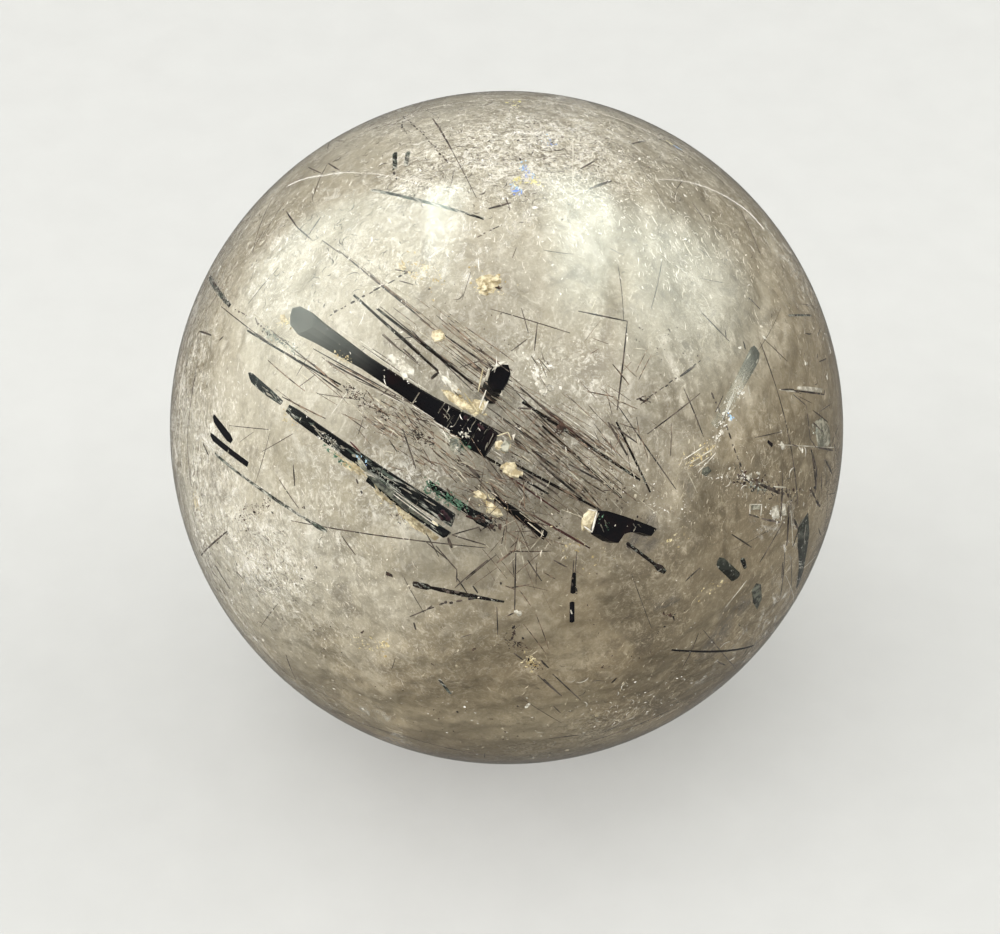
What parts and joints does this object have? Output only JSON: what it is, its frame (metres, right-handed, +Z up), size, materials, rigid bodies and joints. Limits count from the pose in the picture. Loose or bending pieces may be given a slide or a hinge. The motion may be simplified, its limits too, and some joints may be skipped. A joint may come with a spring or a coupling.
{
  "type": "tourmalinated quartz sphere",
  "caption": "Polished ball of clear to milky quartz with black tourmaline rods and needles grown into it, standing on a small flat.",
  "frame": {"origin": "middle of the small flat that the ball rests on", "axes": "+Z up through the middle of the ball; the side that the picture shows faces -Y and up"},
  "size_m": [0.0674, 0.0674, 0.0671],
  "materials": {
    "quartz": "polished",
    "tourmaline": "gloss",
    "smoky_tourmaline": "gloss",
    "milky_veil": "satin",
    "iron_stain": "satin"
  },
  "bodies": {
    "root": {"quartz_front": "quartz", "quartz_back": "quartz", "great_rod": "tourmaline", "long_rod": "tourmaline", "long_rod_top": "tourmaline", "twin_rod": "tourmaline", "end_on_rod": "tourmaline", "maroon_rod": "tourmaline", "green_rod": "tourmaline", "drop_needle": "tourmaline", "lower_rod": "tourmaline", "upright_rod_top": "tourmaline", "upright_rod_bottom": "tourmaline", "lower_splinter": "tourmaline", "left_edge_rod": "tourmaline", "left_upper_stub": "tourmaline", "left_lower_stub": "tourmaline", "beaded_needle": "tourmaline", "upper_needle": "tourmaline", "upper_left_block": "tourmaline", "upper_right_block": "tourmaline", "smoky_rod": "smoky_tourmaline", "right_wedge": "tourmaline", "right_block": "smoky_tourmaline", "right_shard": "tourmaline", "right_grain": "tourmaline", "right_needle": "tourmaline", "lower_right_needle": "tourmaline", "dark_chunk": "tourmaline", "bundle_needle_1": "tourmaline", "bundle_needle_2": "tourmaline", "bundle_needle_3": "tourmaline", "bundle_needle_4": "tourmaline", "bundle_needle_5": "tourmaline", "bundle_needle_6": "tourmaline", "bundle_needle_7": "tourmaline", "bundle_needle_8": "tourmaline", "hidden_rod_1": "tourmaline", "hidden_rod_2": "tourmaline", "hidden_rod_3": "tourmaline", "hidden_rod_4": "tourmaline", "hidden_rod_5": "tourmaline", "hidden_rod_6": "tourmaline", "hidden_rod_7": "tourmaline", "hidden_rod_8": "tourmaline", "hidden_rod_9": "tourmaline", "hidden_rod_10": "tourmaline", "hidden_rod_11": "tourmaline", "hidden_rod_12": "tourmaline", "hidden_rod_13": "tourmaline", "hidden_rod_14": "tourmaline"}
  },
  "joints": []
}
